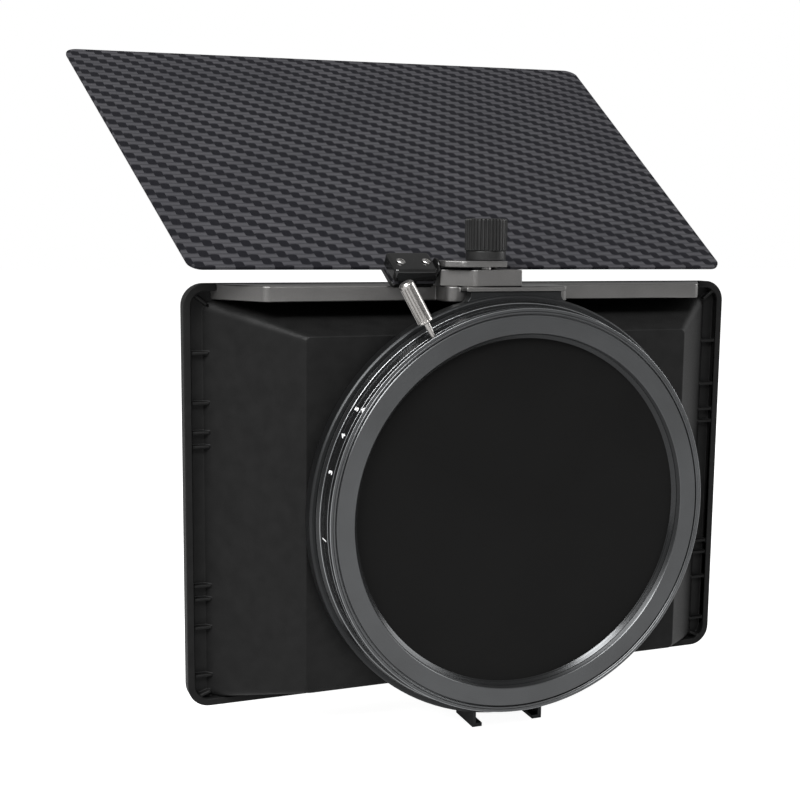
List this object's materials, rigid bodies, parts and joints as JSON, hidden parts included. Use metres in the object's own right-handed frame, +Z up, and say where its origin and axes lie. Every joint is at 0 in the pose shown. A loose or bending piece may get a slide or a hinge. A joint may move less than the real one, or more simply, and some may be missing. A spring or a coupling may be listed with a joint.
{
  "type": "lens hood",
  "caption": "Rectangular clip-on lens hood with a flared shell, hinged top flag, top rail with clamp knob and a round variable-density filter ring set by a side lever.",
  "frame": {"origin": "centre of the lens seat on the face that meets the lens", "axes": "+Y along the optical axis away from the lens towards the subject, +Z up, +X to the right as seen from the lens"},
  "size_m": [0.19, 0.1489, 0.1958],
  "materials": {
    "anodised_ring": "satin dark grey anodised, finely turned",
    "polariser_glass": "dark neutral glass, coated",
    "washer_polymer": "natural low-friction polymer",
    "screw_steel": "bright steel",
    "lever_steel": "bright satin steel",
    "hood_plastic": "moulded black plastic, fine matt texture",
    "rail_aluminium": "bead-blasted grey anodised with bright cut edges",
    "knob_plastic": "ribbed black plastic",
    "insert_brass": "turned brass",
    "black_hardware": "gloss black",
    "flag_laminate": "carbon-look twill laminate, satin"
  },
  "bodies": {
    "lens_mount": {"seat_ring": "anodised_ring", "rear_glass": "polariser_glass", "rear_glass_ring": "anodised_ring", "scale_ring": "anodised_ring", "front_cover": "anodised_ring", "friction_washer": "washer_polymer", "carrier_retainer": "anodised_ring"},
    "density_ring": {"control_ring": "anodised_ring", "drive_pins": "screw_steel", "polariser_cell": "anodised_ring", "front_glass": "polariser_glass", "front_glass_ring": "anodised_ring", "lever_neck": "lever_steel", "lever_handle": "lever_steel"},
    "hood": {"carrier": "anodised_ring", "hood_shell": "hood_plastic", "hood_screws": "screw_steel", "top_rail": "rail_aluminium", "rail_screws": "screw_steel", "tab_screws": "screw_steel", "block_screws": "screw_steel", "clamp_block": "rail_aluminium", "clamp_jaw": "rail_aluminium", "clamp_stud": "screw_steel"},
    "knob": {"knob_grip": "knob_plastic", "knob_insert": "insert_brass"},
    "flag": {"flag_arm": "black_hardware", "flag_plate": "flag_laminate", "flag_backing": "black_hardware", "flag_screws": "screw_steel"}
  },
  "joints": [
    {"name": "density_turn", "type": "hinge", "parent": "lens_mount", "child": "density_ring", "pos_m": [0, 0, 0], "axis": [0, -1, 0], "range_deg": [0, 60]},
    {"name": "hood_level", "type": "hinge", "parent": "lens_mount", "child": "hood", "pos_m": [0, 0, 0], "axis": [0, 1, 0], "continuous": true},
    {"name": "knob_turn", "type": "hinge", "parent": "hood", "child": "knob", "pos_m": [-0.0065, 0.0143, 0.0659], "axis": [0, 0, 1], "range_deg": [0, 360]},
    {"name": "flag_tilt", "type": "hinge", "parent": "hood", "child": "flag", "pos_m": [-0.0195, 0.018, 0.06385], "axis": [1, 0, 0], "range_deg": [-28, 47]}
  ]
}
